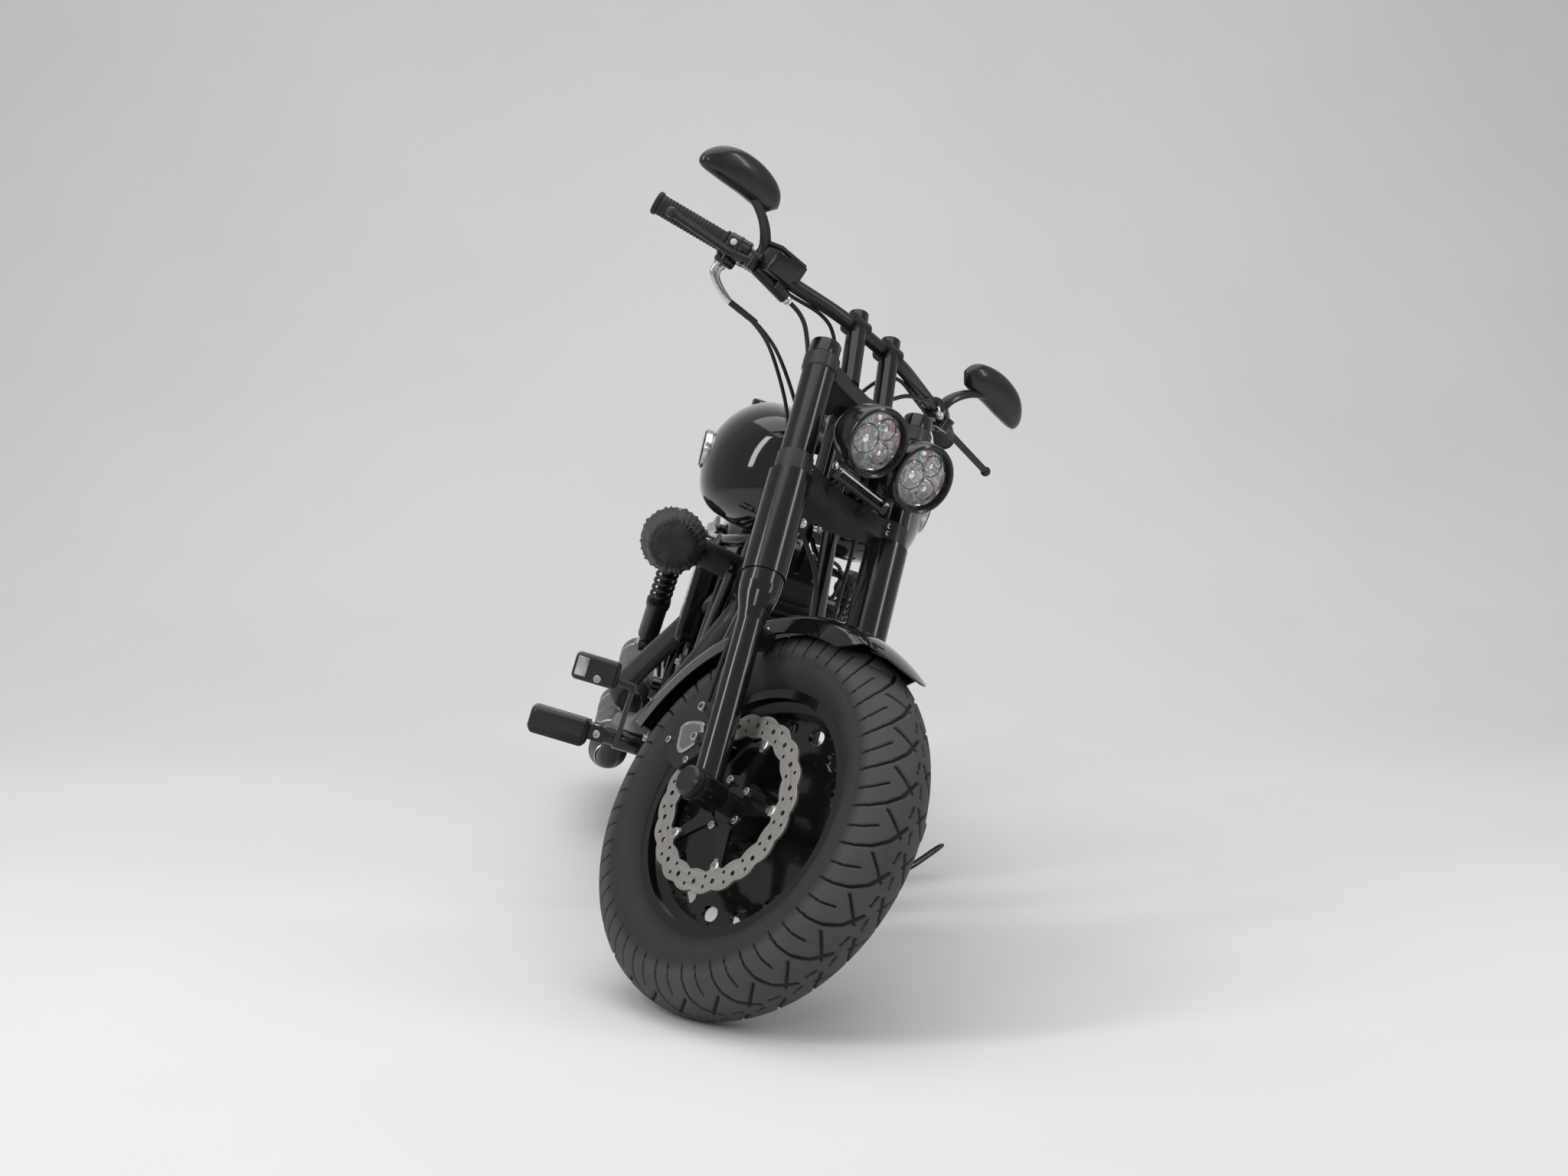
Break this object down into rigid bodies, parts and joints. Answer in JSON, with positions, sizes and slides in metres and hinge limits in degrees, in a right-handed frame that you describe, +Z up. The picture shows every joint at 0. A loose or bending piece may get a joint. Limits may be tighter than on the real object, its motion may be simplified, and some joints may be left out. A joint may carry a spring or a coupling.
{
  "type": "twin-lamp V-twin chopper motorcycle",
  "caption": "All-black cruiser motorcycle with twin round headlamps, fat disc wheels, a finned V-twin and pulled-back bars, parked on its side stand with the fork on its left stop.",
  "frame": {"origin": "bottom centre of the bounding box, on the ground under the parked machine", "axes": "+X the machine's forward direction along the ground, +Y the rider's left, +Z up from the ground"},
  "size_m": [2.2519, 0.903, 1.349],
  "materials": {
    "tyre_rubber": "matte",
    "wheel_black": "satin",
    "rotor_steel": "satin",
    "axle_steel": "satin",
    "fork_black": "gloss",
    "satin_black": "satin",
    "body_paint": "gloss",
    "engine_black": "wrinkle",
    "exhaust_black": "matte",
    "caliper_black": "satin",
    "soft_rubber": "matte",
    "plastic_black": "matte",
    "lens_glass": "polished",
    "lamp_red": "gloss",
    "mirror_shell": "gloss",
    "seat_leather": "satin",
    "filter_cloth": "woven"
  },
  "bodies": {
    "frame": {"frame_tubes": "body_paint", "swingarm": "body_paint", "rear_axle": "axle_steel", "shocks": "satin_black", "engine_cases": "engine_black", "primary_cover": "engine_black", "cylinders": "engine_black", "pushrod_tubes": "fork_black", "fuel_tank": "body_paint", "seat": "seat_leather", "rear_fender": "body_paint", "fender_struts": "satin_black", "side_covers": "body_paint", "battery_box": "plastic_black", "regulator": "satin_black", "drive_belt": "soft_rubber", "mufflers": "exhaust_black", "intake_elbow": "engine_black", "air_filter": "filter_cloth", "tank_console": "body_paint", "filler_caps": "fork_black", "tail_lamp": "lamp_red", "rear_caliper": "caliper_black", "exhaust_pipes": "exhaust_black", "foot_controls": "satin_black", "brake_pedal": "satin_black", "shift_lever": "satin_black", "throttle_cables": "soft_rubber", "clutch_cable": "soft_rubber"},
    "steering": {"fork_tubes": "axle_steel", "fork_covers": "fork_black", "fork_sliders": "fork_black", "lower_tree": "fork_black", "upper_tree": "fork_black", "front_axle": "satin_black", "front_fender": "body_paint", "headlamp_shells": "fork_black", "headlamp_lenses": "lens_glass", "lamp_bracket": "satin_black", "handlebar": "satin_black", "risers": "fork_black", "grips": "soft_rubber", "bar_controls": "satin_black", "levers": "satin_black", "mirrors": "mirror_shell", "front_calipers": "caliper_black", "front_brake_hose": "soft_rubber"},
    "front_wheel": {"front_tyre": "tyre_rubber", "front_rim": "wheel_black", "front_rotors": "rotor_steel", "front_rotor_carriers": "wheel_black"},
    "rear_wheel": {"rear_tyre": "tyre_rubber", "rear_rim": "wheel_black", "rear_rotor": "rotor_steel", "rear_rotor_carrier": "wheel_black", "rear_pulley": "wheel_black"},
    "side_stand": {"side_stand": "satin_black"}
  },
  "joints": [
    {"name": "steering_turn", "type": "hinge", "parent": "frame", "child": "steering", "pos_m": [0.81329, -0.08734, 0.27665], "axis": [-0.4772, 0.2496, 0.8426], "range_deg": [-75, 0], "deforming": ["throttle_cables", "clutch_cable"]},
    {"name": "front_wheel_spin", "type": "hinge", "parent": "steering", "child": "front_wheel", "pos_m": [0.84536, -0.05554, 0.2854], "axis": [-0.535, 0.6782, -0.5039], "continuous": true},
    {"name": "rear_wheel_spin", "type": "hinge", "parent": "frame", "child": "rear_wheel", "pos_m": [-0.76615, -0.07456, 0.31978], "axis": [0, 0.9588, -0.284], "continuous": true},
    {"name": "side_stand_fold", "type": "hinge", "parent": "frame", "child": "side_stand", "pos_m": [-0.07764, 0.03491, 0.10487], "axis": [0.0087, 0.284, 0.9588], "range_deg": [0, 88]}
  ]
}
